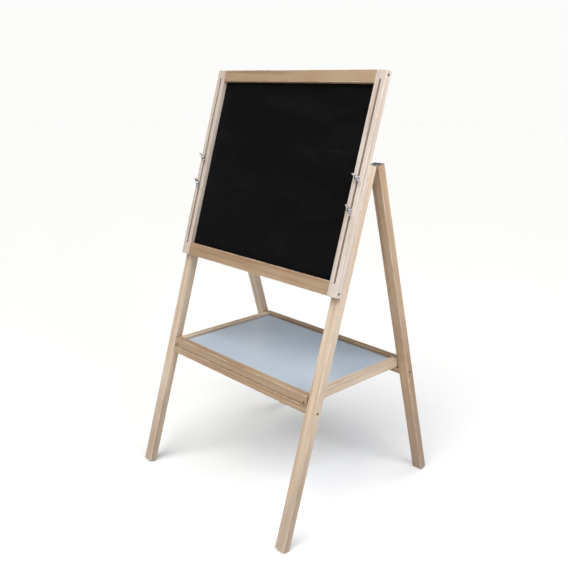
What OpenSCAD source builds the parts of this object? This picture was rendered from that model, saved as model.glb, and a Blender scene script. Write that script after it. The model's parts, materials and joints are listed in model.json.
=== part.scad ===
// A folding easel for children. Two pairs of legs are hinged at their top ends.
// A framed board, black in front and white behind, slides along the front legs
// and is clamped by wing nuts. A loose tray rests on the two crossbars.
// +X is to the right as seen from the front, -Y is the front, +Z is up.
// The origin is on the floor, below the hinge line.

/* [Legs] */
// Width over the legs and over the board
easel_w = 600; // [480:10:700]
// Angle of each pair of legs from upright, in degrees
lean = 16.4; // [14:0.2:20]
// Length of each leg along its inner face
leg_len = 940; // [900:10:1000]
// Width of a leg, across the easel
leg_w = 30; // [28:1:36]
// Thickness of a leg, front to back
leg_t = 22; // [20:1:26]
// Radius of the eased long edges of every batten
edge_r = 1.6; // [1:0.2:2.4]

/* [Crossbars] */
// Distance from the feet up the legs to the crossbars
crossbar_pos = 337; // [250:1:360]
// Height of the crossbars
crossbar_h = 18; // [16:1:24]

/* [Board] */
// Distance from the feet up the legs to the lower end of the board
board_pos = 625; // [610:5:640]
// Height of the board, along the legs
board_h = 527; // [500:1:560]
// Thickness of the board's frame
board_t = 18; // [16:1:22]
// Width of the upright stiles
stile_w = 30; // [28:1:36]
// Width of the top rail
top_rail_w = 30; // [26:1:36]
// Width of the bottom rail
bottom_rail_w = 35; // [28:1:40]
// Thickness of each of the two panels
panel_t = 2.5; // [2:0.5:4]
// How far the panels reach over the frame, in a rebate at the back
rebate_w = 6; // [4:1:8]
// Width of the slots that the bolts slide in
slot_w = 6.6; // [6.6:0.1:8]
// Distance from the top of a stile to its slot
slot_top = 21; // [18:1:30]
// Distance from the bottom of a stile to its slot
slot_bottom = 30; // [26:1:40]

/* [Tray] */
// Depth of the tray, front to back
tray_d = 374; // [370:1:376]
// Height of the tray's rails
tray_rail_h = 24; // [18:1:30]
// Width of the tray's rails
tray_rail_w = 20; // [16:1:26]
// Depth of the tray's panel below its rim
tray_recess = 8; // [6:1:12]
// Gap between the tray and the legs at each side
tray_gap = 2; // [1:0.5:4]

/* [Bolts and wing nuts] */
// Diameter of the bolts
bolt_d = 6; // [5:1:6]
// Distance from the top of a leg to its upper bolt
upper_bolt = 36; // [30:1:40]
// Distance between the two bolts in a leg
bolt_spacing = 76; // [60:1:90]
// Length over the two ears of a wing nut
wing_span = 32; // [28:1:32]
// Angle at which the ears of the upper wing nuts stop
upper_nut_turn = 150; // [0:5:180]
// Angle at which the ears of the lower wing nuts stop
lower_nut_turn = 130; // [0:5:180]

/* [Hidden] */
$fn = 48;

// Space left between pieces that move past each other, and under a piece that lies on another
clearance = 0.3;
rest_gap = 0.05;
// Extra length of a cut, so that it passes through the face that it starts from
over = 1;

// Hinges
knuckle_r = 3;
hinge_gap = 5;
hinge_w = 26;
leaf_t = 1.2;
leaf_reach = 17;
pin_r = 1.5;
pin_fit = 0.05;
pin_head_h = 0.8;
middle_knuckle_w = 10;
hinge_screw_x = 8;
hinge_screw_y = -10;
hinge_z = (leg_len + knuckle_r) * cos(lean) - hinge_gap / 2 * sin(lean);

// Countersunk wood screws: head radius, shank radius, length, depth of the head below the face
frame_screw = [3.6, 1.8, 55, 2.2];
tray_screw = [3.3, 1.6, 40, 1.6];
hinge_screw = [2.4, 1.2, 15, 0];
board_screw_inset = 10;

// Battens and joints
leg_inner = easel_w / 2 - leg_w;
board_back = leg_t + clearance;
board_front = board_back + board_t;
slot_x = easel_w / 2 - stile_w / 2;
slot_from = board_pos + slot_bottom;
slot_to = board_pos + board_h - slot_top;
board_inner = easel_w / 2 - stile_w;
panel_w = 2 * (board_inner + rebate_w);
panel_from = board_pos + bottom_rail_w - rebate_w;
panel_to = board_pos + board_h - top_rail_w + rebate_w;

// Bolts, washers and wing nuts, from the back face of the front legs forwards
bolt_r = bolt_d / 2;
bolt_heights = [leg_len - upper_bolt, leg_len - upper_bolt - bolt_spacing];
bolt_head_r = 6.5;
bolt_head_h = 3.2;
bolt_seat = 4;
bolt_neck_h = 3;
bolt_neck_room_r = bolt_r * 1.5;
bolt_recess_r = 8;
bolt_end_r = 2.4;
bolt_end_h = 1;
washer_r = 6;
washer_t = 1.2;
washer_from = board_front + clearance;
nut_from = washer_from + washer_t + clearance;
nut_h = 7;
nut_base_r = 6;
nut_top_r = 4.8;
nut_fit = 0.06;
bolt_to = nut_from + nut_h + 2.5;
nut_turns = [upper_nut_turn, lower_nut_turn];
ear_t = 2.4;
ear_r = 4.2;
ear_z = 7.4;
ear_root_z = 1;

// Tray
tray_half_w = leg_inner - tray_gap;
rounding_loss = edge_r * (cos(lean) + sin(lean) - 1);
tray_z = (crossbar_pos + crossbar_h) * cos(lean) + leg_t * sin(lean) - rounding_loss + rest_gap;
tray_panel_t = 3;
tray_groove = 6;
tray_screw_up = 6;
tray_panel_z = tray_z + tray_rail_h - tray_recess - tray_panel_t;

pine = "#e2d0b4";
pine_dark = "#c9ab82";
zinc = "#b9bcc0";

// ---- Places ----

// Draws in the front legs' own frame: Z runs up the leg, Y is 0 on the leg's back face
module in_front_frame() {
    translate([0, 0, hinge_z])
        rotate([-lean, 0, 0])
            translate([0, -hinge_gap / 2, -leg_len - knuckle_r]) children();
}

// Draws in the rear legs' own frame: Z runs up the leg, Y is 0 on the leg's front face
module in_rear_frame() {
    translate([0, 0, hinge_z])
        rotate([lean, 0, 0])
            translate([0, hinge_gap / 2, -leg_len - knuckle_r]) children();
}

// side is 1 for the right and -1 for the left
module on_side(side) {
    mirror([side < 0 ? 1 : 0, 0, 0]) children();
}

module on_both_sides() {
    for (side = [-1, 1]) on_side(side) children();
}

// Turns a shape drawn up Z so that it points forwards out of the front legs
module facing_front(x, height) {
    translate([x, 0, height]) rotate([90, 0, 0]) children();
}

// ---- Battens ----

module rounded_rectangle(w, d, r) {
    translate([r, 0]) square([w - 2 * r, d]);
    translate([0, r]) square([w, d - 2 * r]);
    for (x = [r, w - r], y = [r, d - r]) translate([x, y]) circle(r);
}

// A batten that stands up Z
module upright(x, y, w, d, from, to) {
    translate([x, y, from]) linear_extrude(to - from) rounded_rectangle(w, d, edge_r);
}

// A batten that lies along X, centred, with its section's corner at y and z
module crosswise(half_w, y, z, d, h) {
    translate([-half_w, y, z])
        rotate([90, 0, 90]) linear_extrude(2 * half_w) rounded_rectangle(d, h, edge_r);
}

// A batten that lies along Y
module lengthwise(x, z, w, h, from, to) {
    translate([x, to, z]) rotate([90, 0, 0]) linear_extrude(to - from) rounded_rectangle(w, h, edge_r);
}

// ---- Screws ----

// A screw along Z whose countersunk head is at the top; the sink above it is part of a hole
module screw_shape(screw) {
    head_r = screw[0];
    shank_r = screw[1];
    head_h = head_r - shank_r;
    tip_h = 2 * shank_r;
    translate([0, 0, -screw[3] - head_h]) cylinder(h = head_h, r1 = shank_r, r2 = head_r);
    translate([0, 0, tip_h - screw[2]]) cylinder(h = screw[2] - tip_h - screw[3] - head_h, r = shank_r);
    translate([0, 0, -screw[2]]) cylinder(h = tip_h, r1 = 0, r2 = shank_r);
}

module screw_hole(screw) {
    screw_shape(screw);
    translate([0, 0, -screw[3]]) cylinder(h = screw[3] + over, r = screw[0]);
}

module wood_screw(screw) {
    recess_w = screw[0] * 0.3;
    color(zinc) difference() {
        screw_shape(screw);
        for (turn = [0, 90])
            translate([0, 0, -screw[3]]) rotate(turn) cube([screw[0], recess_w, recess_w], center = true);
    }
}

// Screws come in from the outer faces, along X
module from_outside(y, z) {
    translate([easel_w / 2, y, z]) rotate([0, 90, 0]) children();
}

module at_front_crossbar_screw() {
    from_outside(-leg_t / 2, crossbar_pos + crossbar_h / 2) children();
}

module at_rear_crossbar_screw() {
    from_outside(leg_t / 2, crossbar_pos + crossbar_h / 2) children();
}

module at_board_screws() {
    for (z = [board_pos + board_screw_inset, board_pos + board_h - board_screw_inset])
        from_outside(-board_back - board_t / 2, z) children();
}

// ---- Hinges ----

// Screws of one leaf, in a leg's own frame; the rear leaf is the front one mirrored in Y
module at_leaf_screws() {
    for (x = [-hinge_screw_x, hinge_screw_x])
        translate([easel_w / 2 - leg_w / 2 + x, hinge_screw_y, leg_len + leaf_t]) children();
}

module knuckle_bar(r, from, to) {
    translate([easel_w / 2 - leg_w / 2 + from, hinge_gap / 2, leg_len + knuckle_r])
        rotate([0, 90, 0]) cylinder(h = to - from, r = r);
}

// The front leaf holds the two end knuckles and the rear leaf holds the middle one.
// cut is where the leaf makes room for the other leaf's knuckles.
module hinge_leaf(is_front) {
    half_w = hinge_w / 2;
    outer = middle_knuckle_w / 2;
    inner = outer - clearance;
    own = is_front ? [[-half_w, -outer], [outer, half_w]] : [[-inner, inner]];
    cut = is_front ? [[-outer, outer]] : [[-half_w - over, -inner], [inner, half_w + over]];
    color(zinc) difference() {
        union() {
            translate([easel_w / 2 - leg_w / 2 - half_w, -leaf_reach, leg_len])
                cube([hinge_w, leaf_reach + hinge_gap / 2, leaf_t]);
            for (part = own) knuckle_bar(knuckle_r, part[0], part[1]);
        }
        for (part = cut) knuckle_bar(knuckle_r + 2 * clearance, part[0], part[1]);
        knuckle_bar(is_front ? pin_r : pin_r + pin_fit, -half_w - over, half_w + over);
        at_leaf_screws() screw_hole(hinge_screw);
    }
}

module hinge_front_leaves() {
    in_front_frame() on_both_sides() hinge_leaf(true);
}

module hinge_rear_leaves() {
    in_rear_frame() mirror([0, 1, 0]) on_both_sides() hinge_leaf(false);
}

module hinge_pins() {
    in_front_frame() on_both_sides() color(zinc) {
        knuckle_bar(pin_r, -hinge_w / 2, hinge_w / 2);
        knuckle_bar(pin_r + pin_head_h, -hinge_w / 2 - pin_head_h, -hinge_w / 2);
        knuckle_bar(pin_r + pin_head_h, hinge_w / 2, hinge_w / 2 + pin_head_h);
    }
}

module hinge_front_screws() {
    in_front_frame() on_both_sides() at_leaf_screws() wood_screw(hinge_screw);
}

module hinge_rear_screws() {
    in_rear_frame() mirror([0, 1, 0]) on_both_sides() at_leaf_screws() wood_screw(hinge_screw);
}

// ---- Legs and crossbars ----

module at_bolts() {
    for (height = bolt_heights) facing_front(slot_x, height) children();
}

module front_leg(side) {
    in_front_frame() on_side(side) color(pine) difference() {
        upright(leg_inner, -leg_t, leg_w, leg_t, 0, leg_len);
        at_front_crossbar_screw() screw_hole(frame_screw);
        at_leaf_screws() screw_hole(hinge_screw);
        at_bolts() bolt_hole();
    }
}

module rear_leg(side) {
    in_rear_frame() on_side(side) color(pine) difference() {
        upright(leg_inner, 0, leg_w, leg_t, 0, leg_len);
        at_rear_crossbar_screw() screw_hole(frame_screw);
        mirror([0, 1, 0]) at_leaf_screws() screw_hole(hinge_screw);
    }
}

module front_crossbar() {
    in_front_frame() color(pine_dark) difference() {
        crosswise(leg_inner, -leg_t, crossbar_pos, leg_t, crossbar_h);
        on_both_sides() at_front_crossbar_screw() screw_hole(frame_screw);
    }
}

module rear_crossbar() {
    in_rear_frame() color(pine_dark) difference() {
        crosswise(leg_inner, 0, crossbar_pos, leg_t, crossbar_h);
        on_both_sides() at_rear_crossbar_screw() screw_hole(frame_screw);
    }
}

module front_crossbar_screws() {
    in_front_frame() on_both_sides() at_front_crossbar_screw() wood_screw(frame_screw);
}

module rear_crossbar_screws() {
    in_rear_frame() on_both_sides() at_rear_crossbar_screw() wood_screw(frame_screw);
}

// ---- Bolts, washers and wing nuts ----

module bolt_hole() {
    translate([0, 0, -over]) cylinder(h = bolt_seat + over, r = bolt_recess_r);
    cylinder(h = bolt_seat + bolt_neck_h, r = bolt_neck_room_r);
    cylinder(h = leg_t + over, r = bolt_r);
}

module carriage_bolt() {
    dome_r = (bolt_head_r * bolt_head_r + bolt_head_h * bolt_head_h) / (2 * bolt_head_h);
    intersection() {
        translate([0, 0, bolt_seat - bolt_head_h + dome_r]) sphere(dome_r);
        cylinder(h = bolt_seat, r = bolt_head_r + over);
    }
    translate([-bolt_r, -bolt_r, bolt_seat]) cube([2 * bolt_r, 2 * bolt_r, bolt_neck_h]);
    translate([0, 0, bolt_seat]) cylinder(h = bolt_to - bolt_end_h - bolt_seat, r = bolt_r);
    translate([0, 0, bolt_to - bolt_end_h]) cylinder(h = bolt_end_h, r1 = bolt_r, r2 = bolt_end_r);
}

module carriage_bolts() {
    in_front_frame() on_both_sides() at_bolts() color(zinc) carriage_bolt();
}

module washers() {
    in_front_frame() on_both_sides() at_bolts() translate([0, 0, washer_from])
        color(zinc) difference() {
            cylinder(h = washer_t, r = washer_r);
            translate([0, 0, -over]) cylinder(h = washer_t + 2 * over, r = bolt_r);
        }
}

module ear_outline() {
    ear_x = wing_span / 2 - ear_r;
    translate([ear_x, ear_z]) circle(ear_r);
    polygon([[nut_top_r - over, ear_root_z], [nut_base_r - over, ear_root_z],
             [ear_x + ear_r * cos(45), ear_z - ear_r * sin(45)],
             [ear_x - ear_r * sin(35), ear_z + ear_r * cos(35)],
             [nut_top_r - over, nut_h - ear_root_z]]);
}

module wing_nut() {
    color(zinc) difference() {
        union() {
            cylinder(h = nut_h, r1 = nut_base_r, r2 = nut_top_r);
            for (turn = [0, 180])
                rotate([90, 0, turn]) translate([0, 0, -ear_t / 2]) linear_extrude(ear_t) ear_outline();
        }
        translate([0, 0, -over]) cylinder(h = nut_h + 2 * over, r = bolt_r + nut_fit);
    }
}

// level is 0 for an upper nut and 1 for a lower one
module placed_wing_nut(side, level) {
    in_front_frame() facing_front(side * slot_x, bolt_heights[level])
        translate([0, 0, nut_from]) rotate(nut_turns[level]) wing_nut();
}

// ---- Board ----

module board_stile(side) {
    in_front_frame() on_side(side) color(pine) difference() {
        upright(board_inner, -board_front, stile_w, board_t, board_pos, board_pos + board_h);
        slot();
        panel_space();
        at_board_screws() screw_hole(frame_screw);
    }
}

module slot() {
    translate([slot_x, -board_front - over, 0]) rotate([-90, 0, 0]) linear_extrude(board_t + 2 * over) {
        translate([-slot_w / 2, slot_w / 2 - slot_to]) square([slot_w, slot_to - slot_from - slot_w]);
        for (end = [slot_w / 2 - slot_to, -slot_w / 2 - slot_from]) translate([0, end]) circle(slot_w / 2);
    }
}

// The rebate that both panels lie in, open at the back
module panel_space() {
    translate([-panel_w / 2, -board_back - 2 * panel_t, panel_from])
        cube([panel_w, 2 * panel_t + over, panel_to - panel_from]);
}

module board_rail(from, rail_w) {
    in_front_frame() color(pine_dark) difference() {
        crosswise(board_inner, -board_front, from, board_t, rail_w);
        panel_space();
        on_both_sides() at_board_screws() screw_hole(frame_screw);
    }
}

// depth is how far in front of the board's back the panel's front face lies
module board_panel(depth, shade) {
    in_front_frame() color(shade)
        translate([-panel_w / 2, -board_back - depth, panel_from])
            cube([panel_w, panel_t, panel_to - panel_from]);
}

module board_screws() {
    in_front_frame() on_both_sides() at_board_screws() wood_screw(frame_screw);
}

// ---- Tray ----

module at_tray_screws() {
    for (x = [-1, 1], end = [0, 180])
        rotate(end) translate([x * (tray_half_w - tray_rail_w / 2), -tray_d / 2, tray_z + tray_screw_up])
            rotate([90, 0, 0]) children();
}

module tray_panel_shape() {
    half_w = tray_half_w - tray_rail_w + tray_groove;
    half_d = tray_d / 2 - tray_rail_w + tray_groove;
    translate([-half_w, -half_d, tray_panel_z]) cube([2 * half_w, 2 * half_d, tray_panel_t]);
}

module tray_cross_rail(y) {
    color(pine_dark) difference() {
        crosswise(tray_half_w, y, tray_z, tray_rail_w, tray_rail_h);
        tray_panel_shape();
        at_tray_screws() screw_hole(tray_screw);
    }
}

module tray_side_rail(side) {
    on_side(side) color(pine) difference() {
        lengthwise(tray_half_w - tray_rail_w, tray_z, tray_rail_w, tray_rail_h,
                   tray_rail_w - tray_d / 2, tray_d / 2 - tray_rail_w);
        tray_panel_shape();
        at_tray_screws() screw_hole(tray_screw);
    }
}

front_leg(-1);  // front_leg_left
front_leg(1);  // front_leg_right
front_crossbar();
front_crossbar_screws();
carriage_bolts();
washers();
hinge_front_leaves();
hinge_pins();
hinge_front_screws();
board_stile(-1);  // board_stile_left
board_stile(1);  // board_stile_right
board_rail(board_pos + board_h - top_rail_w, top_rail_w);  // board_top_rail
board_rail(board_pos, bottom_rail_w);  // board_bottom_rail
board_panel(2 * panel_t, "#16181a");  // chalkboard_panel
board_panel(panel_t, "#f4f5f5");  // whiteboard_panel
board_screws();
placed_wing_nut(-1, 0);  // wing_nut_upper_left
placed_wing_nut(1, 0);  // wing_nut_upper_right
placed_wing_nut(-1, 1);  // wing_nut_lower_left
placed_wing_nut(1, 1);  // wing_nut_lower_right
rear_leg(-1);  // rear_leg_left
rear_leg(1);  // rear_leg_right
rear_crossbar();
rear_crossbar_screws();
hinge_rear_leaves();
hinge_rear_screws();
tray_cross_rail(-tray_d / 2);  // tray_front_rail
tray_cross_rail(tray_d / 2 - tray_rail_w);  // tray_rear_rail
tray_side_rail(-1);  // tray_left_rail
tray_side_rail(1);  // tray_right_rail
color("#dfe5ee") tray_panel_shape();  // tray_panel
color(zinc) at_tray_screws() wood_screw(tray_screw);  // tray_screws
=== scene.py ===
"""The looks of a folding easel for children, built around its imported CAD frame. Units are metres."""

import json
import math

import bmesh
import bpy
from mathutils import Matrix, Vector


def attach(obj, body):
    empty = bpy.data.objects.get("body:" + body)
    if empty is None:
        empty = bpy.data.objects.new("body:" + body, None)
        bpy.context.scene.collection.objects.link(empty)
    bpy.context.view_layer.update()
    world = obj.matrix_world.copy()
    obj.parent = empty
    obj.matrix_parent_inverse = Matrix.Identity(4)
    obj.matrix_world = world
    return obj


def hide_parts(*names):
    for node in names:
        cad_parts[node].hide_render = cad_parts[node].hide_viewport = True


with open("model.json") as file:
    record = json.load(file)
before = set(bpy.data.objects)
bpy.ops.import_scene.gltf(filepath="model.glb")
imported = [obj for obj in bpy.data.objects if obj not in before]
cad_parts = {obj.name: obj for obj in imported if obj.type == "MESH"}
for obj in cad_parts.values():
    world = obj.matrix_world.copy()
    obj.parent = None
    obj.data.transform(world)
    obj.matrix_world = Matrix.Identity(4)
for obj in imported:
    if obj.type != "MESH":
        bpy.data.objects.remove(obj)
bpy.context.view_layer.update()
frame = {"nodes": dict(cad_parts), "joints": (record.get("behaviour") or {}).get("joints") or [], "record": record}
NODES = frame["nodes"]
JOINTS = {joint["name"]: joint for joint in frame["joints"]}
NUT_JOINTS = [joint for name, joint in JOINTS.items() if name.startswith("wing_nut")]
BODY_OF = {node: body for body, nodes in frame["record"]["behaviour"]["bodies"].items() for node in nodes}

MM = 0.001
FRONT_AXIS = Vector(JOINTS["board_height"]["axis"])
LEAN = math.atan2(FRONT_AXIS.y, FRONT_AXIS.z)


# ---- Shader nodes ----


class Shader:
    """A material's node tree, with short calls to add and link nodes."""

    def __init__(self, name):
        self.material = bpy.data.materials.new(name)
        self.material.use_nodes = True
        self.tree = self.material.node_tree
        self.surface = self.tree.nodes["Principled BSDF"]

    def plug(self, value, socket):
        """Links a socket to another, or gives it a constant."""
        if isinstance(value, bpy.types.NodeSocket):
            self.tree.links.new(value, socket)
        else:
            socket.default_value = value

    def node(self, kind, inputs=None, **settings):
        made = self.tree.nodes.new(kind)
        for key, value in settings.items():
            setattr(made, key, value)
        for key, value in (inputs or {}).items():
            self.plug(value, made.inputs[key])
        return made

    def place(self, turn=(0, 0, 0), shift=(0, 0, 0)):
        """Object coordinates, turned and then shifted."""
        coordinates = self.node("ShaderNodeTexCoord").outputs["Object"]
        turned = self.node("ShaderNodeMapping", {"Vector": coordinates, "Rotation": turn}).outputs[0]
        return self.node("ShaderNodeMapping", {"Vector": turned, "Location": shift}).outputs[0]

    def scaled(self, vector, scale):
        return self.node("ShaderNodeMapping", {"Vector": vector, "Scale": scale}).outputs[0]

    def split(self, vector):
        return self.node("ShaderNodeSeparateXYZ", {0: vector}).outputs

    def noise(self, vector, scale, detail=3.0, roughness=0.5, distortion=0.0):
        """Cloudy noise from 0 to 1, with about scale waves to a metre."""
        inputs = {"Vector": vector, "Scale": scale, "Detail": detail,
                  "Roughness": roughness, "Distortion": distortion}
        return self.node("ShaderNodeTexNoise", inputs).outputs["Fac"]

    def streaks(self, vector, squeeze, scale, detail=3.0, roughness=0.5):
        """Noise drawn out along Z: the smaller the squeeze, the longer the streaks."""
        return self.noise(self.scaled(vector, (1, 1, squeeze)), scale, detail, roughness)

    def math(self, operation, first, second=0.0):
        return self.node("ShaderNodeMath", {0: first, 1: second}, operation=operation).outputs[0]

    def remap(self, value, low, high, to_low=0.0, to_high=1.0, smooth=False):
        """Brings a value from the range low to high into the range to_low to to_high."""
        kind = "SMOOTHSTEP" if smooth else "LINEAR"
        inputs = {"Value": value, "From Min": low, "From Max": high, "To Min": to_low, "To Max": to_high}
        return self.node("ShaderNodeMapRange", inputs, interpolation_type=kind).outputs[0]

    def mix(self, share, first, second):
        made = self.node("ShaderNodeMix", data_type="RGBA")
        sockets = {socket.identifier: socket for socket in made.inputs}
        self.plug(share, sockets["Factor_Float"])
        self.plug(first, sockets["A_Color"])
        self.plug(second, sockets["B_Color"])
        return next(socket for socket in made.outputs if socket.identifier == "Result_Color")

    def overlay(self, under, over, pattern, low, high, strength, smooth=False):
        """Lays a colour over another as a pattern rises from low to high, up to that strength."""
        return self.mix(self.remap(pattern, low, high, 0.0, strength, smooth), under, over)

    def fade(self, under, over, pattern, low, high, strength):
        """Lays a colour over another at that strength, fading as a pattern rises from low to high."""
        return self.mix(self.remap(pattern, low, high, strength, 0.0, smooth=True), under, over)

    def bump(self, height, distance, strength):
        inputs = {"Height": height, "Distance": distance, "Strength": strength}
        return self.node("ShaderNodeBump", inputs).outputs[0]

    def finish(self, **inputs):
        """Fills the surface's own sockets, an underscore standing for a space, and gives the material."""
        for key, value in inputs.items():
            self.plug(value, self.surface.inputs[key.replace("_", " ")])
        return self.material


def colour(red, green, blue):
    """A linear colour from sRGB values of 0 to 255."""

    def linear(value):
        value /= 255
        return value / 12.92 if value <= 0.04045 else ((value + 0.055) / 1.055) ** 2.4

    return (linear(red), linear(green), linear(blue), 1)


# ---- Pine ----

# Earlywood, pale patches, latewood and fibres. The stiles are the palest battens and the rails the warmest.
STILE_TONES = (colour(213, 201, 188), colour(224, 214, 203), colour(176, 151, 128), colour(150, 125, 104))
LEG_TONES = (colour(217, 196, 172), colour(225, 208, 188), colour(178, 145, 114), colour(156, 126, 99))
# The right rear leg's tones are darker and browner: painted shade on that leg.
SHADED_REAR_LEG_TONES = (colour(191, 160, 128), colour(202, 176, 146), colour(140, 101, 69), colour(116, 82, 57))
RAIL_TONES = (colour(176, 149, 120), colour(185, 161, 134), colour(144, 110, 79), colour(124, 93, 65))
KNOT_DARK = colour(126, 78, 42)
KNOT_RIM = colour(176, 122, 72)
# The grey-brown the wood turns towards the floor
LOW_GREY_BROWN = colour(138, 118, 102)
# Pale colour of the long edges: worn lacquer and a painted highlight.
PALE_WEAR_AND_HIGHLIGHT = colour(236, 225, 208)

# The range that holds most of a noise texture's values, and a wider one
MOST = (0.3, 0.7)
NEARLY_ALL = (0.2, 0.8)

# The pith's distance from the origin, and how it differs from batten to batten and along each batten
PITH_AWAY = (31 * MM, 42 * MM)
PITH_SPREAD = (13 * MM, 16 * MM)
PITH_RATE = (2.3, 1.7)
PITH_STEP = 0.37
PITH_DRIFT = (3, 3, 0.9)
PITH_WANDER = 6 * MM

# Rings: how many to a metre of radius, how often and how much their spacing varies, and how each one darkens
RINGS_PER_METRE = 430
SPACING_WAVES = (60, 0, 0)
RING_UNEVENNESS = 2.6
RING_WOBBLE = 0.9 * MM
RING_DARKENING = 2.6
RING_END = 0.93

# Knots: the cells that hold them, per metre, and shares of a cell that the knot and its rings take
KNOT_CELLS = (9, 9, 3.4)
KNOT_SCATTER = 0.9
KNOT_RAGGED = 0.018
KNOT_REACH = (0.04, 0.26)
KNOT_PUSH = 4.2 * MM

# Wear, the painted highlight on worn edges, and the darkening towards the floor: depths and heights in metres, and
# how strongly each shows
LOW_DARKENING_HEIGHT = 340 * MM
LOW_DARKENING_RAGGED = 70 * MM
LOW_DARKENING_STRENGTH = 0.46
SAWN_DEPTH = (0.2 * MM, 1.2 * MM)
SAWN_STRENGTH = 0.42
# The long edges' paling, part lacquer wear and part painted highlight
EDGE_WEAR_HIGHLIGHT_DEPTH = (0.6 * MM, 2.6 * MM)
EDGE_WEAR_HIGHLIGHT_RAGGED = 1 * MM
EDGE_WEAR_HIGHLIGHT_PATCHES = (0.42, 0.62)
EDGE_WEAR_HIGHLIGHT_STRENGTH = 0.45

# Lacquer: the rings' share in the relief and in the gloss, the roughness range and what rubbing adds
GRAIN_RELIEF = 0.12 * MM
RINGS_IN_RELIEF = 0.6
RINGS_IN_GLOSS = -0.3
LACQUER_ROUGHNESS = (0.40, 0.58)
RUBBED_ROUGHNESS = 0.2


def pith_of(seed):
    """The shift that brings a batten's own pith to the texture's Z axis."""
    x = PITH_AWAY[0] + PITH_SPREAD[0] * math.sin(seed * PITH_RATE[0])
    y = PITH_AWAY[1] + PITH_SPREAD[1] * math.cos(seed * PITH_RATE[1])
    return (x, y, PITH_STEP * seed)


def knot_distance(shader, along, wobble):
    """The distance to the nearest knot, as a share of a knot's cell, with a ragged outline."""
    cells = shader.node("ShaderNodeTexVoronoi", {"Vector": shader.scaled(along, KNOT_CELLS),
                                                "Scale": 1, "Randomness": KNOT_SCATTER})
    ragged = shader.remap(wobble, 0, 1, -KNOT_RAGGED, KNOT_RAGGED)
    return shader.math("ADD", cells.outputs["Distance"], ragged)


def growth_rings(shader, along, wobble, from_knot):
    """The share of latewood, in rings round a pith that wanders; each knot pushes them aside."""
    drift = shader.noise(shader.scaled(along, PITH_DRIFT), scale=2.2, detail=2)
    x, y, _ = shader.split(along)
    bend = shader.remap(drift, low=0.25, high=0.75, to_low=-PITH_WANDER, to_high=PITH_WANDER)
    off_x = shader.math("ADD", x, bend)
    squares = shader.math("ADD", shader.math("POWER", off_x, 2), shader.math("POWER", y, 2))
    radius = shader.math("SQRT", squares)
    near_knot = shader.remap(from_knot, *KNOT_REACH, 1, 0, smooth=True)
    pushed = shader.math("ADD", radius, shader.math("MULTIPLY", near_knot, KNOT_PUSH))
    wavy = shader.math("ADD", pushed, shader.remap(wobble, *NEARLY_ALL, -RING_WOBBLE, RING_WOBBLE))

    # Wide and narrow years come in turn, and each ring darkens slowly and ends sharply
    years = shader.node("ShaderNodeCombineXYZ", {0: radius}).outputs[0]
    width = shader.noise(shader.scaled(years, SPACING_WAVES), scale=1, detail=2)
    count = shader.math("ADD", shader.math("MULTIPLY", wavy, RINGS_PER_METRE),
                        shader.math("MULTIPLY", width, RING_UNEVENNESS))
    phase = shader.math("FRACT", count)
    rise = shader.math("POWER", phase, RING_DARKENING)
    fall = shader.remap(phase, RING_END, 1, 1, 0, smooth=True)
    return shader.math("MULTIPLY", rise, fall)


def wood_tone(shader, along, tones, latewood, fibres, from_knot):
    """The colour of clean wood: clouds, bands, rings, streaks, fibres, resin flecks and knots."""
    early, pale, late, fibre = tones
    clouds = shader.noise(along, scale=7, detail=2)
    bands = shader.streaks(along, squeeze=0.03, scale=105, detail=3, roughness=0.55)
    streaks = shader.streaks(along, squeeze=0.03, scale=240, detail=3, roughness=0.6)
    flecks = shader.streaks(along, squeeze=0.05, scale=900, detail=1)
    tone = shader.mix(shader.remap(clouds, *MOST), early, pale)
    tone = shader.overlay(tone, late, bands, low=0.48, high=0.66, strength=0.62)
    tone = shader.overlay(tone, late, latewood, low=0, high=1, strength=0.72)
    tone = shader.overlay(tone, fibre, streaks, low=0.5, high=0.8, strength=0.30)
    tone = shader.overlay(tone, fibre, fibres, low=0.5, high=0.85, strength=0.36)
    tone = shader.overlay(tone, late, flecks, low=0.70, high=0.80, strength=0.45, smooth=True)
    tone = shader.fade(tone, KNOT_RIM, from_knot, low=0.035, high=0.075, strength=0.8)
    return shader.fade(tone, KNOT_DARK, from_knot, low=0.02, high=0.045, strength=0.85)


def darken_towards_floor(shader, tone, blotches):
    """Wood darker and greyer towards the floor, which dies out raggedly higher up."""
    height = shader.split(shader.place())["Z"]
    ragged = shader.remap(blotches, *MOST, LOW_DARKENING_RAGGED, -LOW_DARKENING_RAGGED)
    return shader.fade(tone, LOW_GREY_BROWN, shader.math("ADD", height, ragged), low=0, high=LOW_DARKENING_HEIGHT,
                       strength=LOW_DARKENING_STRENGTH)


def depths(shader, turn, low, high):
    """How deep a point is inside the batten's own box, along each of its three directions."""
    inside = shader.split(shader.place(turn))
    return [shader.math("MINIMUM", shader.math("SUBTRACT", inside[i], low[i]),
                        shader.math("SUBTRACT", high[i], inside[i])) for i in range(3)]


def worn_edges_and_highlight(shader, along, deep_x, deep_y, blotches):
    """How far the long edges are worn pale, in places: lacquer wear and a painted highlight."""
    ragged = shader.remap(blotches, *MOST, -EDGE_WEAR_HIGHLIGHT_RAGGED, EDGE_WEAR_HIGHLIGHT_RAGGED)
    from_edge = shader.math("ADD", shader.math("MAXIMUM", deep_x, deep_y), ragged)
    nicks = shader.streaks(along, squeeze=0.4, scale=90, detail=4, roughness=0.7)
    return shader.math("MULTIPLY", shader.remap(from_edge, *EDGE_WEAR_HIGHLIGHT_DEPTH, 1, 0, smooth=True),
                       shader.remap(nicks, *EDGE_WEAR_HIGHLIGHT_PATCHES, 0, EDGE_WEAR_HIGHLIGHT_STRENGTH))


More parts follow.
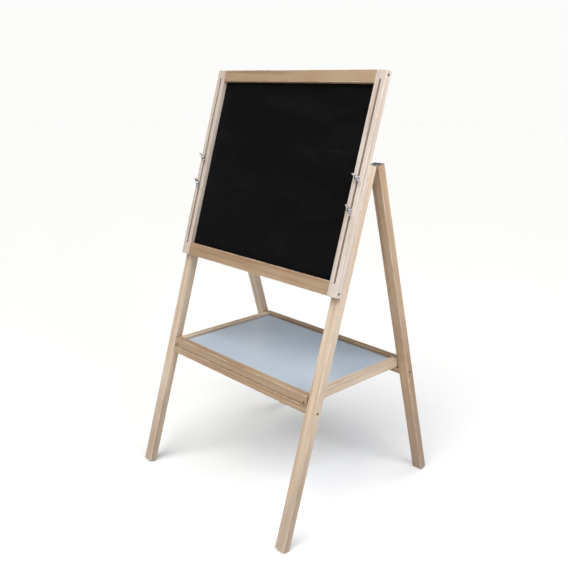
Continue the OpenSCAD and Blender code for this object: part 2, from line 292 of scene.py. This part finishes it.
def pine(name, turn, seed, tones, low, high):
    """Lacquered pine, cut from a solid pattern, so that its faces and its end grain agree.

    low and high are the corners of the batten's own box once its length has been turned to Z.
    """
    shader = Shader(name)
    late = tones[2]
    along = shader.place(turn, pith_of(seed))
    wobble = shader.streaks(along, squeeze=0.12, scale=26, detail=3)
    from_knot = knot_distance(shader, along, wobble)
    latewood = growth_rings(shader, along, wobble, from_knot)
    fibres = shader.streaks(along, squeeze=0.014, scale=1500, detail=4, roughness=0.65)
    tone = wood_tone(shader, along, tones, latewood, fibres, from_knot)

    # The wood turns darker and greyer towards the floor, the sawn ends are darker, and the long edges are worn
    # pale with a painted highlight
    blotches = shader.streaks(along, squeeze=0.25, scale=38, detail=4, roughness=0.6)
    tone = darken_towards_floor(shader, tone, blotches)
    deep_x, deep_y, deep_z = depths(shader, turn, low, high)
    tone = shader.fade(tone, late, deep_z, *SAWN_DEPTH, SAWN_STRENGTH)
    worn_and_highlight = worn_edges_and_highlight(shader, along, deep_x, deep_y, blotches)
    tone = shader.mix(worn_and_highlight, tone, PALE_WEAR_AND_HIGHLIGHT)

    grain = shader.math("ADD", shader.math("MULTIPLY", latewood, RINGS_IN_RELIEF), fibres)
    lacquer = shader.math("ADD", fibres, shader.math("MULTIPLY", latewood, RINGS_IN_GLOSS))
    gloss = shader.remap(lacquer, *NEARLY_ALL, *LACQUER_ROUGHNESS)
    dulled = shader.math("ADD", gloss, shader.math("MULTIPLY", worn_and_highlight, RUBBED_ROUGHNESS))
    relief = shader.bump(grain, GRAIN_RELIEF, strength=0.45)
    return shader.finish(Base_Color=tone, Roughness=dulled, Normal=relief, Coat_Weight=0.18,
                         Coat_Roughness=0.32, Specular_IOR_Level=0.42)


# ---- Panels, metal and floor ----

BOARD_BLACK = colour(6, 6, 7)
CHALK_FILM = colour(90, 91, 93)
CHALK_SPECK = colour(120, 120, 118)
MARKER_WHITE = colour(243, 244, 244)
MARKER_GHOST = colour(196, 202, 212)
TRAY_BLUE = colour(182, 193, 206)
TRAY_PALE = colour(188, 199, 211)
TRAY_DUST = colour(212, 218, 224)
TRAY_SCRATCH = colour(165, 173, 182)
FLOOR_WHITE = colour(247, 247, 246)
FLOOR_PALE = colour(245, 245, 244)

# How much whiter the floor looks to the camera than it lights the easel
FLOOR_GLOW = 0.10

PAINT_RELIEF = 0.06 * MM
ENAMEL_RELIEF = 0.04 * MM
SCRATCH_RELIEF = 0.03 * MM
SPANGLE_RELIEF = 0.03 * MM


def blackboard():
    """Matt black board paint with the last traces of wiped chalk."""
    shader = Shader("blackboard_paint")
    flat = shader.place((LEAN, 0, 0))
    sweep = shader.noise(shader.scaled(flat, (1, 1, 2.6)), scale=5, detail=5, roughness=0.62, distortion=0.8)
    strokes = shader.noise(shader.scaled(flat, (0.35, 1, 1.5)), scale=42, detail=4, roughness=0.7,
                           distortion=0.4)
    specks = shader.noise(flat, scale=1900, detail=2, roughness=0.7)
    dust = shader.math("MULTIPLY", shader.remap(sweep, low=0.44, high=0.78),
                       shader.remap(strokes, low=0.38, high=0.8))
    tone = shader.overlay(BOARD_BLACK, CHALK_FILM, dust, low=0, high=0.6, strength=0.05)
    tone = shader.overlay(tone, CHALK_SPECK, specks, low=0.66, high=0.8, strength=0.06)
    rough = shader.remap(dust, low=0, high=0.5, to_low=0.55, to_high=0.80)
    relief = shader.bump(specks, PAINT_RELIEF, strength=0.5)
    return shader.finish(Base_Color=tone, Roughness=rough, Normal=relief, Specular_IOR_Level=0.09)


def whiteboard():
    """Gloss white marker surface with faint ghosts of old strokes."""
    shader = Shader("whiteboard_enamel")
    flat = shader.place((LEAN, 0, 0))
    ghosts = shader.noise(shader.scaled(flat, (1, 1, 1.9)), scale=9, detail=4, roughness=0.6, distortion=1.6)
    wipes = shader.noise(shader.scaled(flat, (0.3, 1, 1.2)), scale=60, detail=3, roughness=0.6,
                         distortion=0.3)
    smear = shader.math("MULTIPLY", shader.remap(ghosts, low=0.52, high=0.74),
                        shader.remap(wipes, low=0.4, high=0.75))
    tone = shader.overlay(MARKER_WHITE, MARKER_GHOST, smear, low=0, high=0.7, strength=0.22)
    peel = shader.noise(flat, scale=420, detail=2)
    rough = shader.remap(smear, low=0, high=0.6, to_low=0.14, to_high=0.34)
    relief = shader.bump(peel, ENAMEL_RELIEF, strength=0.5)
    return shader.finish(Base_Color=tone, Roughness=rough, Normal=relief, Coat_Weight=0.5,
                         Coat_Roughness=0.06)


def tray_enamel():
    """The tray's pale blue-grey panel, with chalk dust and fine scratches."""
    shader = Shader("tray_enamel")
    flat = shader.place()
    clouds = shader.noise(flat, scale=6, detail=3)
    dust = shader.noise(flat, scale=34, detail=5, roughness=0.7)
    scratches = shader.noise(shader.scaled(flat, (1, 0.05, 1)), scale=700, detail=2, roughness=0.6)
    tone = shader.mix(shader.remap(clouds, *MOST), TRAY_BLUE, TRAY_PALE)
    tone = shader.overlay(tone, TRAY_DUST, dust, low=0.5, high=0.9, strength=0.10)
    tone = shader.overlay(tone, TRAY_SCRATCH, scratches, low=0.7, high=0.8, strength=0.10)
    rough = shader.remap(clouds, *MOST, to_low=0.30, to_high=0.40)
    relief = shader.bump(scratches, SCRATCH_RELIEF, strength=0.4)
    return shader.finish(Base_Color=tone, Roughness=rough, Normal=relief, Coat_Weight=0.25,
                         Coat_Roughness=0.12)


def plated(name, bright, dull, polished, worn):
    """Plated steel: fine spangle and darker handling marks, from polished to worn roughness."""
    shader = Shader(name)
    flat = shader.place()
    spangle = shader.noise(flat, scale=900, detail=3, roughness=0.6)
    marks = shader.noise(flat, scale=160, detail=4, roughness=0.65, distortion=0.5)
    tone = shader.overlay(bright, dull, marks, low=0.35, high=0.7, strength=1)
    tone = shader.overlay(tone, dull, spangle, low=0.3, high=0.8, strength=0.3)
    rough = shader.remap(marks, low=0.3, high=0.75, to_low=polished, to_high=worn)
    relief = shader.bump(spangle, SPANGLE_RELIEF, strength=0.5)
    return shader.finish(Base_Color=tone, Roughness=rough, Normal=relief, Metallic=1)


def white_floor():
    """A plain pale studio floor with a barely visible mottle."""
    shader = Shader("studio_floor")
    mottle = shader.noise(shader.place(), scale=3, detail=3)
    tone = shader.mix(shader.remap(mottle, *MOST), FLOOR_WHITE, FLOOR_PALE)
    seen = shader.node("ShaderNodeLightPath").outputs["Is Camera Ray"]
    glow = shader.math("MULTIPLY", seen, FLOOR_GLOW)
    return shader.finish(Base_Color=tone, Roughness=0.9, Specular_IOR_Level=0,
                         Emission_Color=(1, 1, 1, 1), Emission_Strength=glow)


# ---- Meshes ----


def as_object(name, mesh):
    data = bpy.data.meshes.new(name)
    mesh.to_mesh(data)
    mesh.free()
    thing = bpy.data.objects.new(name, data)
    bpy.context.scene.collection.objects.link(thing)
    return thing


def applied(thing):
    """The object's mesh with its modifiers applied, as a new mesh; the object goes."""
    graph = bpy.context.evaluated_depsgraph_get()
    data = bpy.data.meshes.new_from_object(thing.evaluated_get(graph))
    bpy.data.objects.remove(thing)
    return data


def lathe(rings):
    """A tube of faces between rings of points that follow each other, with its ends left open."""
    mesh = bmesh.new()
    rows = [[mesh.verts.new(point) for point in ring] for ring in rings]
    for low, high in zip(rows, rows[1:]):
        for side in range(len(low)):
            after = (side + 1) % len(low)
            mesh.faces.new((low[side], low[after], high[after], high[side]))
    return mesh, rows


def frame_on(axis, across, place):
    """The matrix of a frame whose Z is axis and whose X is across, made square to it."""
    z = axis.normalized()
    x = (across - across.dot(z) * z).normalized()
    y = z.cross(x)
    turn = Matrix((x, y, z)).transposed().to_4x4()
    return Matrix.Translation(place) @ turn


def off_axis(point, joint):
    """The vector to a point from a joint's axis, square to it."""
    axis = Vector(joint["axis"])
    spoke = point - Vector(joint["pos_m"])
    return spoke - spoke.dot(axis) * axis


# ---- CAD pieces, finished ----

WELD = 0.002 * MM
FLAT = math.radians(0.5)
SHARP = math.radians(35)


def editable(node):
    """A copy of a CAD node's mesh, welded and with each flat face whole."""
    mesh = bmesh.new()
    mesh.from_mesh(NODES[node].data)
    bmesh.ops.remove_doubles(mesh, verts=mesh.verts, dist=WELD)
    bmesh.ops.dissolve_limit(mesh, angle_limit=FLAT, verts=mesh.verts, edges=mesh.edges)
    return mesh


def is_sharp(edge):
    return len(edge.link_faces) == 2 and edge.calc_face_angle() > SHARP


def round_edges(mesh, edges, width, segments):
    bmesh.ops.bevel(mesh, geom=edges, offset=width, segments=segments, profile=0.5,
                    affect="EDGES", clamp_overlap=False)


def ease_rims(mesh, width, segments=2):
    """Rounds what is still sharp and turns outwards: corners, and the mouths of holes and slots."""
    rims = [edge for edge in mesh.edges if is_sharp(edge) and edge.is_convex]
    round_edges(mesh, rims, width, segments)


def stand_in(node, mesh, material):
    """Puts a finished mesh in the place of a CAD node, on the same body."""
    piece = as_object(node + "_finished", mesh)
    piece.data.shade_smooth()
    piece.data.set_sharp_from_angle(angle=SHARP)
    piece.data.materials.append(material)
    shading = piece.modifiers.new("shading", "WEIGHTED_NORMAL")
    shading.keep_sharp = True
    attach(piece, BODY_OF[node])
    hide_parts(node)


# ---- Battens ----

# Grain directions, as the turn that brings a batten's length to the texture's Z
ALONG_FRONT_LEG = (LEAN, 0, 0)
ALONG_REAR_LEG = (-LEAN, 0, 0)
ACROSS_FRONT = (LEAN, -math.pi / 2, 0)
ACROSS_REAR = (-LEAN, -math.pi / 2, 0)
ACROSS_TRAY = (0, -math.pi / 2, 0)
ALONG_TRAY = (math.pi / 2, 0, 0)

BATTENS = {
    "front_leg_left": (ALONG_FRONT_LEG, LEG_TONES),
    "front_leg_right": (ALONG_FRONT_LEG, LEG_TONES),
    "front_crossbar": (ACROSS_FRONT, RAIL_TONES),
    "rear_leg_left": (ALONG_REAR_LEG, LEG_TONES),
    # The right rear leg takes darker tones as painted shade.
    "rear_leg_right": (ALONG_REAR_LEG, SHADED_REAR_LEG_TONES),
    "rear_crossbar": (ACROSS_REAR, RAIL_TONES),
    "board_stile_left": (ALONG_FRONT_LEG, STILE_TONES),
    "board_stile_right": (ALONG_FRONT_LEG, STILE_TONES),
    "board_top_rail": (ACROSS_FRONT, RAIL_TONES),
    "board_bottom_rail": (ACROSS_FRONT, RAIL_TONES),
    "tray_front_rail": (ACROSS_TRAY, RAIL_TONES),
    "tray_rear_rail": (ACROSS_TRAY, RAIL_TONES),
    "tray_left_rail": (ALONG_TRAY, LEG_TONES),
    "tray_right_rail": (ALONG_TRAY, LEG_TONES),
}

END_EASE = 1.7 * MM
END_STEPS = 4
RIM_EASE = 0.3 * MM

# A little more than the rounding of a batten's long edges, and than the spread of its flat end
NEAR_SIDE = 1.9 * MM
NEAR_END = 0.05 * MM


def ease_ends(mesh, turn):
    """Rounds the outline of both sawn ends, and gives the batten's box with its length turned to Z."""
    to_grain = Matrix.Rotation(turn[1], 3, "Y") @ Matrix.Rotation(turn[0], 3, "X")
    spots = {vertex: to_grain @ vertex.co for vertex in mesh.verts}
    low = Vector([min(spot[i] for spot in spots.values()) for i in range(3)])
    high = Vector([max(spot[i] for spot in spots.values()) for i in range(3)])

    def on_outline(vertex):
        deep = [min(spots[vertex][i] - low[i], high[i] - spots[vertex][i]) for i in range(3)]
        return min(deep[0], deep[1]) < NEAR_SIDE and deep[2] < NEAR_END

    outline = [edge for edge in mesh.edges if is_sharp(edge) and all(on_outline(v) for v in edge.verts)]
    round_edges(mesh, outline, END_EASE, END_STEPS)
    return low, high


def finish_battens():
    """Rounds every batten's sawn ends, and cuts each from its own piece of pine."""
    for seed, (node, (turn, tones)) in enumerate(BATTENS.items(), start=1):
        mesh = editable(node)
        low, high = ease_ends(mesh, turn)
        ease_rims(mesh, RIM_EASE)
        stand_in(node, mesh, pine("pine_" + node, turn, seed, tones, low, high))


# ---- Panels and plain metal ----

PANEL_EASE = 0.3 * MM
METAL_STEPS = 3


def finish_panels():
    """Eases the three panels and gives each its own surface."""
    for node, material, slot in (("chalkboard_panel", blackboard(), "blackboard"),
                                 ("whiteboard_panel", whiteboard(), "whiteboard"),
                                 ("tray_panel", tray_enamel(), "tray_panel")):
        mesh = editable(node)
        ease_rims(mesh, PANEL_EASE)
        stand_in(node, mesh, material)


def finish_metal(bright, dull, blackened):
    """Eases the screws, hinges and washers, each by its own width in millimetres."""
    for node, width, material, slot in (("front_crossbar_screws", 0.12, blackened, "plated_steel"),
                                        ("rear_crossbar_screws", 0.12, blackened, "plated_steel"),
                                        ("board_screws", 0.12, blackened, "plated_steel"),
                                        ("tray_screws", 0.12, blackened, "plated_steel"),
                                        ("hinge_front_screws", 0.08, bright, "plated_steel"),
                                        ("hinge_rear_screws", 0.08, bright, "plated_steel"),
                                        ("hinge_front_leaves", 0.2, dull, "plated_steel"),
                                        ("hinge_rear_leaves", 0.2, dull, "plated_steel"),
                                        ("hinge_pins", 0.25, dull, "plated_steel"),
                                        ("washers", 0.2, bright, "zinc")):
        mesh = editable(node)
        ease_rims(mesh, width * MM, METAL_STEPS)
        stand_in(node, mesh, material)


# ---- Bolts ----

BOLT_EASE = 0.15 * MM
THREAD_PITCH = 1 * MM
THREAD_DEPTH = 0.5 * MM
THREAD_LENGTH = 22 * MM
THREAD_SIDES = 40
THREAD_CUTS = 8
TIP_LENGTH = 3 * THREAD_PITCH


def threaded_end(radius):
    """A closed bolt end on +Z with a helical thread and a chamfered tip."""
    count = round(THREAD_LENGTH / THREAD_PITCH * THREAD_CUTS)
    rings = []
    for row in range(count + 1):
        height = THREAD_LENGTH * row / count
        chamfer = max(0, height - (THREAD_LENGTH - 2 * THREAD_DEPTH))
        ring = []
        for side in range(THREAD_SIDES):
            share = side / THREAD_SIDES
            phase = (height / THREAD_PITCH - share) % 1
            groove = THREAD_DEPTH * (1 - abs(2 * phase - 1)) * min(1, height / THREAD_PITCH)
            reach = min(radius - groove, radius - chamfer)
            angle = 2 * math.pi * share
            ring.append((reach * math.cos(angle), reach * math.sin(angle), height))
        rings.append(ring)
    mesh, rows = lathe(rings)
    mesh.faces.new(rows[0])
    mesh.faces.new(rows[-1])
    bmesh.ops.recalc_face_normals(mesh, faces=mesh.faces)
    return mesh


def finish_bolts(zinc):
    """The CAD bolts' heads, necks and plain shanks, with threads cut on their ends."""
    node = "carriage_bolts"
    mesh = editable(node)
    ease_rims(mesh, BOLT_EASE, METAL_STEPS)
    axis = Vector(NUT_JOINTS[0]["axis"])
    tip = max(vertex.co.dot(axis) for vertex in mesh.verts)
    start = tip - THREAD_LENGTH
    tips = [vertex.co for vertex in mesh.verts if vertex.co.dot(axis) > tip - TIP_LENGTH]
    radius = max(min(off_axis(point, joint).length for joint in NUT_JOINTS) for point in tips)
    everything = mesh.verts[:] + mesh.edges[:] + mesh.faces[:]
    cut = bmesh.ops.bisect_plane(mesh, geom=everything, plane_co=axis * start, plane_no=axis,
                                 clear_outer=True)
    rims = [edge for edge in cut["geom_cut"] if isinstance(edge, bmesh.types.BMEdge)]
    bmesh.ops.holes_fill(mesh, edges=rims)
    end = threaded_end(radius)
    thread = bpy.data.meshes.new("thread")
    end.to_mesh(thread)
    end.free()
    for joint in NUT_JOINTS:
        place = Vector(joint["pos_m"])
        place += (start - place.dot(axis)) * axis
        turned = thread.copy()
        turned.transform(frame_on(axis, Vector((1, 0, 0)), place))
        mesh.from_mesh(turned)
    stand_in(node, mesh, zinc)


# ---- Wing nuts ----

NUT_HEIGHT = 7 * MM
NUT_BASE_R = 6 * MM
NUT_BASE_HEIGHT = 1.2 * MM
NUT_TOP_R = 4.7 * MM
NUT_BORE_R = 3.1 * MM
NUT_BORE_CHAMFER = 0.6 * MM
EAR_THICK = 2.3 * MM
EAR_TIP_R = 4.1 * MM
EAR_TIP_UP = 7.4 * MM
EAR_TIP_ARC = (-52, 132)
EAR_TIP_STEPS = 18
EAR_ROOT_X = NUT_TOP_R - 2 * MM
EAR_ROOT_LOW = 0.8 * MM
EAR_ROOT_HIGH = NUT_HEIGHT - 0.9 * MM
EAR_FOOT = (NUT_BASE_R - 0.4 * MM, 0.9 * MM)
CAST_VOXEL = 0.32 * MM
CAST_SMOOTHING = 7

# How near the hub's and the bore tool's sections come to the axis, and how far the tool passes the nut
HUB_CORE = 0.2 * MM
TOOL_CORE = 0.01 * MM
TOOL_PAST = 1 * MM


def revolve(profile, steps=64):
    """A closed ring of faces from (radius, height) points that go once round the section."""
    mesh = bmesh.new()
    rings = []
    for step in range(steps):
        angle = 2 * math.pi * step / steps
        rings.append([mesh.verts.new((r * math.cos(angle), r * math.sin(angle), z)) for r, z in profile])
    for step in range(steps):
        here, there = rings[step], rings[(step + 1) % steps]
        for i in range(len(profile)):
            j = (i + 1) % len(profile)
            mesh.faces.new((here[i], there[i], there[j], here[j]))
    bmesh.ops.recalc_face_normals(mesh, faces=mesh.faces)
    return mesh


def arc(centre_x, centre_z, radius, start, end, steps):
    """Points on an arc in the XZ plane, from one angle to the other, in degrees."""
    angles = [math.radians(start + (end - start) * i / steps) for i in range(steps + 1)]
    return [(centre_x + radius * math.cos(a), centre_z + radius * math.sin(a)) for a in angles]


def slab(outline, thickness):
    """A closed plate of the given XZ outline, centred on Y = 0."""
    mesh = bmesh.new()
    front = [mesh.verts.new((x, -thickness / 2, z)) for x, z in outline]
    face = mesh.faces.new(front)
    made = bmesh.ops.extrude_face_region(mesh, geom=[face])
    moved = [vertex for vertex in made["geom"] if isinstance(vertex, bmesh.types.BMVert)]
    bmesh.ops.translate(mesh, verts=moved, vec=(0, thickness, 0))
    bmesh.ops.recalc_face_normals(mesh, faces=mesh.faces)
    return mesh


def cast_blank(reach):
    """The hub and both ears as overlapping solids, on +Z with the ears along X."""
    hub = revolve([(HUB_CORE, 0), (NUT_BASE_R, 0), (NUT_BASE_R, NUT_BASE_HEIGHT),
                   (NUT_TOP_R, NUT_HEIGHT), (HUB_CORE, NUT_HEIGHT)])
    tip = arc(reach - EAR_TIP_R, EAR_TIP_UP, EAR_TIP_R, *EAR_TIP_ARC, EAR_TIP_STEPS)
    outline = [(EAR_ROOT_X, EAR_ROOT_LOW), EAR_FOOT] + tip + [(EAR_ROOT_X, EAR_ROOT_HIGH)]
    parts = [as_object("hub", hub)]
    for turn in (0, math.pi):
        ear = as_object("ear", slab(outline, EAR_THICK))
        ear.data.transform(Matrix.Rotation(turn, 4, "Z"))
        parts.append(ear)
    whole = bmesh.new()
    for part in parts:
        whole.from_mesh(part.data)
        bpy.data.objects.remove(part)
    return as_object("cast", whole)


def bore_tool():
    """The solid that cuts the nut's bore, with a chamfer at its outer mouth."""
    low = -TOOL_PAST
    high = NUT_HEIGHT + TOOL_PAST
    profile = [(TOOL_CORE, low), (NUT_BORE_R, low), (NUT_BORE_R, NUT_HEIGHT - NUT_BORE_CHAMFER),
               (NUT_BORE_R + NUT_BORE_CHAMFER, high), (TOOL_CORE, high)]
    return as_object("bore", revolve(profile, steps=48))


def wing_nut_mesh(reach):
    """A cast wing nut on +Z with its ears along X, which reach that far from the axis."""
    cast = cast_blank(reach)
    remesh = cast.modifiers.new("cast", "REMESH")
    remesh.mode = "VOXEL"
    remesh.voxel_size = CAST_VOXEL
    soften = cast.modifiers.new("soften", "SMOOTH")
    soften.factor = 0.5
    soften.iterations = CAST_SMOOTHING
    bore = bore_tool()
    cut = cast.modifiers.new("bore", "BOOLEAN")
    cut.operation = "DIFFERENCE"
    cut.object = bore
    cut.solver = "EXACT"
    data = applied(cast)
    bpy.data.objects.remove(bore)
    data.name = "wing_nut_cast"
    data.shade_smooth()
    return data


def furthest_spoke(node, joint):
    """The spoke from a joint's axis to the point of a CAD node that is furthest from it."""
    spokes = [off_axis(vertex.co, joint) for vertex in NODES[node].data.vertices]
    return max(spokes, key=lambda spoke: spoke.length)


def finish_wing_nuts(zinc):
    """Cast nuts in place of the plain CAD ones, with their ears where the CAD ears are."""
    spokes = {joint["child"]: furthest_spoke(joint["child"], joint) for joint in NUT_JOINTS}
    cast = wing_nut_mesh(spokes[NUT_JOINTS[0]["child"]].length)
    cast.materials.append(zinc)
    for joint in NUT_JOINTS:
        body = joint["child"]
        nut = bpy.data.objects.new(body + "_cast", cast)
        bpy.context.scene.collection.objects.link(nut)
        nut.matrix_world = frame_on(Vector(joint["axis"]), spokes[body], Vector(joint["pos_m"]))
        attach(nut, body)
        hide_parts(body)


# ---- Stage, camera and light ----

FLOOR_SIZE = 30

CAMERA_PLACE = (1.3032, -1.2613, 1.0863)
CAMERA_TURN = 46.108
CAMERA_TILT = -16.342
CAMERA_ROLL = 0.578
CAMERA_LENS = 43.61
CAMERA_REACH = 60

# What the camera sees behind the floor, and how strongly the world itself lights the easel
BACKDROP = (0.972, 0.968, 0.96, 1)
WORLD_LIGHT = 0.09


def build_stage():
    """A plain floor, far wider than the camera's view."""
    bpy.ops.mesh.primitive_plane_add(size=FLOOR_SIZE)
    floor = bpy.context.object
    floor.name = "studio_floor"
    floor.data.materials.append(white_floor())


def build_camera():
    """The camera at the easel's front right, looking a little down."""
    camera = bpy.data.objects.new("camera", bpy.data.cameras.new("camera"))
    bpy.context.scene.collection.objects.link(camera)
    turn = Matrix.Rotation(math.radians(CAMERA_TURN), 4, "Z")
    tilt = Matrix.Rotation(math.radians(90 + CAMERA_TILT), 4, "X")
    roll = Matrix.Rotation(math.radians(CAMERA_ROLL), 4, "Z")
    camera.matrix_world = Matrix.Translation(CAMERA_PLACE) @ turn @ tilt @ roll
    camera.data.lens = CAMERA_LENS
    camera.data.clip_end = CAMERA_REACH
    bpy.context.scene.camera = camera


def lamp(name, kind, towards, energy, tint):
    """A light that shines in the given direction."""
    data = bpy.data.lights.new(name, kind)
    data.energy = energy
    data.color = tint
    thing = bpy.data.objects.new(name, data)
    bpy.context.scene.collection.objects.link(thing)
    thing.rotation_euler = Vector(towards).to_track_quat("-Z", "Y").to_euler()
    return thing


def sun(name, towards, strength, softness, tint):
    """A broad soft light from far away; softness is how wide it looks, in degrees."""
    lamp(name, "SUN", towards, strength, tint).data.angle = math.radians(softness)


def softbox(name, place, target, size, power, tint):
    """A square lamp near the easel, turned to the target."""
    thing = lamp(name, "AREA", Vector(target) - Vector(place), power, tint)
    thing.data.size = size
    thing.location = place


def build_world():
    """A white backdrop for the camera, which lights the easel only weakly."""
    world = bpy.data.worlds.new("studio")
    bpy.context.scene.world = world
    world.use_nodes = True
    tree = world.node_tree
    dim = tree.nodes["Background"]
    dim.inputs["Color"].default_value = (1, 1, 1, 1)
    dim.inputs["Strength"].default_value = WORLD_LIGHT
    white = tree.nodes.new("ShaderNodeBackground")
    white.inputs["Color"].default_value = BACKDROP
    choice = tree.nodes.new("ShaderNodeMixShader")
    path = tree.nodes.new("ShaderNodeLightPath")
    tree.links.new(path.outputs["Is Camera Ray"], choice.inputs[0])
    tree.links.new(dim.outputs[0], choice.inputs[1])
    tree.links.new(white.outputs[0], choice.inputs[2])
    tree.links.new(choice.outputs[0], tree.nodes["World Output"].inputs["Surface"])


def build_light():
    """Broad light from the front, weaker light from the back, and a softbox by the board's right side."""
    sun("front", towards=(-0.05, 0.55, -0.83), strength=2.6, softness=50, tint=(1, 0.99, 0.975))
    sun("back", towards=(-0.1, -0.55, -0.83), strength=0.65, softness=40, tint=(1, 1, 1))
    softbox("side", place=(1.15, -0.15, 1.55), target=(0.3, 0, 0.85), size=0.6, power=11,
            tint=(0.97, 1, 1.09))
    build_world()
    bpy.context.scene.view_settings.view_transform = "Standard"


def main():
    bright = plated("bright_zinc", colour(215, 217, 220), colour(176, 178, 182), polished=0.18, worn=0.36)
    dull = plated("dull_zinc", colour(196, 197, 194), colour(150, 149, 146), polished=0.34, worn=0.52)
    finish_battens()
    finish_panels()
    blackened = plated("blackened_steel", colour(74, 72, 70), colour(44, 42, 41), polished=0.32, worn=0.55)
    finish_metal(bright, dull, blackened)
    finish_bolts(bright)
    finish_wing_nuts(bright)
    build_stage()
    build_camera()
    build_light()


main()
